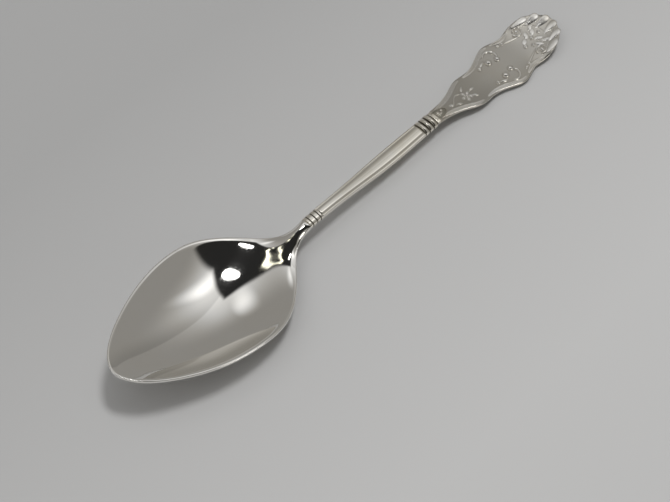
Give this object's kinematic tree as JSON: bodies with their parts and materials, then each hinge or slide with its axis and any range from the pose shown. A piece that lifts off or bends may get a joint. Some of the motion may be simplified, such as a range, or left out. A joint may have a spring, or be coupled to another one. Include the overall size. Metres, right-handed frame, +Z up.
{
  "type": "teaspoon",
  "caption": "Silver teaspoon with a pointed oval bowl, slim banded stem and shaped terminal with flower spray, scrolls and lobed crest.",
  "frame": {"origin": "centre of the bounding box in plan, at the surface the spoon lies on", "axes": "+X from the bowl's tip to the terminal, +Z up out of the bowl, +Y to the left of the spoon"},
  "size_m": [0.1388, 0.0306, 0.011],
  "materials": {
    "silver_polished": "polished silver with fine wear scratches",
    "silver_field": "polished silver with light tarnish",
    "silver_relief": "struck silver ornament with tarnish in its hollows"
  },
  "bodies": {
    "root": {"bowl": "silver_polished", "lower_collar": "silver_polished", "stem": "silver_polished", "upper_collar": "silver_polished", "terminal_plate": "silver_field", "border_left": "silver_relief", "border_right": "silver_relief", "cartouche_bud": "silver_relief", "flower_spray": "silver_relief", "scroll_left": "silver_relief", "scroll_right": "silver_relief", "shell_crest": "silver_relief"}
  },
  "joints": []
}
